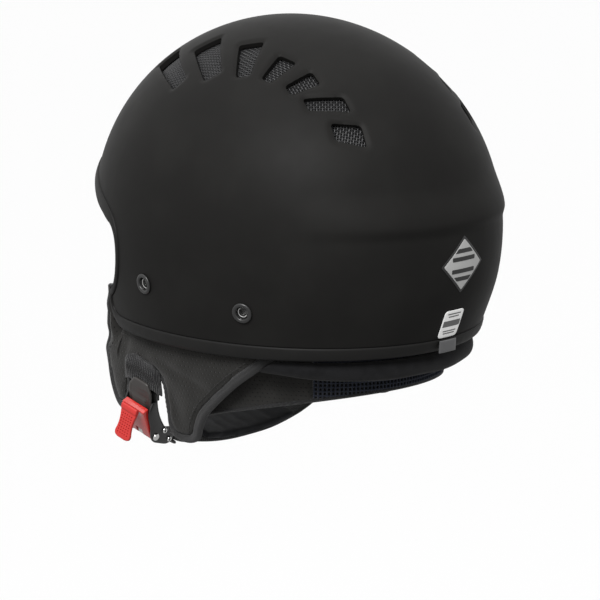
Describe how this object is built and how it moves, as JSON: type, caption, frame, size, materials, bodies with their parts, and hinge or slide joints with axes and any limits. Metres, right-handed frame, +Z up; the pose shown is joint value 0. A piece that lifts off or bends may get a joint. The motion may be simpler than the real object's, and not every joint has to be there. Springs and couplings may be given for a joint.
{
  "type": "open-face scooter helmet",
  "caption": "Matte black open-face scooter helmet with fanned roof vents, rubber edge trim, padded ear flaps, neck pads and a ratchet chin-strap buckle with a red release lever.",
  "frame": {"origin": "on the axis of the wearer's head, level with the lower edge of the shell", "axes": "+Z up, the wearer faces -Y, the wearer's left is +X"},
  "size_m": [0.22, 0.2656, 0.2666],
  "materials": {
    "lining": "brushed knit",
    "black_steel": "black coated steel",
    "red_plastic": "glossy red polyamide",
    "neck_cloth": "ribbed black elastic cloth",
    "webbing": "black nylon webbing",
    "flap_cloth": "finely perforated imitation suede",
    "spacer_mesh": "navy-black knitted spacer mesh",
    "binding": "folded black binding tape",
    "foam": "expanded polystyrene beads, black",
    "bright_metal": "bright nickel plate",
    "dark_label": "dark grey sticker",
    "shell": "matte soft-touch lacquer on a moulded thermoplastic shell",
    "red_rubber": "red textured rubber",
    "grey_plastic": "smooth warm grey polyamide",
    "emblem": "printed silver sticker",
    "trim_rubber": "satin moulded rubber",
    "label": "white paper sticker, rounded corners",
    "vent_mesh": "black woven mesh"
  },
  "bodies": {
    "helmet": {"brow_pad": "lining", "buckle_frame": "black_steel", "chin_pad": "neck_cloth", "chin_strap": "webbing", "crown_pad": "lining", "foam_liner": "foam", "frame_rivet_front_1": "bright_metal", "frame_rivet_front_2": "bright_metal", "frame_rivet_rear_1": "bright_metal", "frame_rivet_rear_2": "bright_metal", "lever_pin": "bright_metal", "lever_spring": "bright_metal", "nape_pad": "lining", "neck_mesh_panel": "spacer_mesh", "neck_roll": "neck_cloth", "neck_side_panel_left": "flap_cloth", "neck_side_panel_right": "flap_cloth", "outer_shell": "shell", "rear_emblem": "emblem", "rim_trim": "trim_rubber", "size_label": "label", "snap_ring_front_left": "trim_rubber", "snap_ring_front_right": "trim_rubber", "snap_ring_rear_left": "trim_rubber", "snap_ring_rear_right": "trim_rubber", "snap_stud_front_left": "bright_metal", "snap_stud_front_right": "bright_metal", "snap_stud_rear_left": "bright_metal", "snap_stud_rear_right": "bright_metal", "strap_anchor_left": "black_steel", "strap_anchor_right": "black_steel", "strap_left": "webbing", "temple_pad_left": "lining", "temple_pad_right": "lining", "trim_joiner": "trim_rubber", "vent_mesh_left": "vent_mesh", "vent_mesh_right": "vent_mesh"},
    "ear_flap_left": {"ear_flap_left": "flap_cloth", "flap_piping_left": "binding", "flap_lining_left": "spacer_mesh"},
    "ear_flap_right": {"ear_flap_right": "flap_cloth", "flap_piping_right": "binding", "flap_lining_right": "spacer_mesh"},
    "buckle_lever": {"buckle_lever": "red_plastic", "lever_sticker": "dark_label"},
    "pull_tab": {"pull_tab": "red_rubber"},
    "ratchet_tongue": {"ratchet_tongue": "grey_plastic"}
  },
  "joints": [
    {"name": "ear_flap_left_hinge", "type": "hinge", "parent": "helmet", "child": "ear_flap_left", "pos_m": [0.086, 0, -0.003], "axis": [0, -1, 0], "range_deg": [0, 6.5], "stiffness_Nm_per_rad": 0.5},
    {"name": "ear_flap_right_hinge", "type": "hinge", "parent": "helmet", "child": "ear_flap_right", "pos_m": [-0.086, 0, -0.003], "axis": [0, 1, 0], "range_deg": [0, 6.5], "stiffness_Nm_per_rad": 0.5},
    {"name": "buckle_lever_hinge", "type": "hinge", "parent": "helmet", "child": "buckle_lever", "pos_m": [0.08248, -0.04774, -0.07015], "axis": [0, 0.9659, -0.2588], "range_deg": [0, 38], "stiffness_Nm_per_rad": 0.02},
    {"name": "pull_tab_hinge", "type": "hinge", "parent": "buckle_lever", "child": "pull_tab", "pos_m": [0.09584, -0.04336, -0.05382], "axis": [0, -0.9659, 0.2588], "range_deg": [-8, 33], "stiffness_Nm_per_rad": 0.01},
    {"name": "ratchet_tongue_slide", "type": "hinge", "parent": "helmet", "child": "ratchet_tongue", "pos_m": [0.0419, -0.03828, -0.03486], "axis": [0, 0.9659, -0.2588], "range_deg": [0, 9], "deforming": ["chin_strap"]}
  ]
}
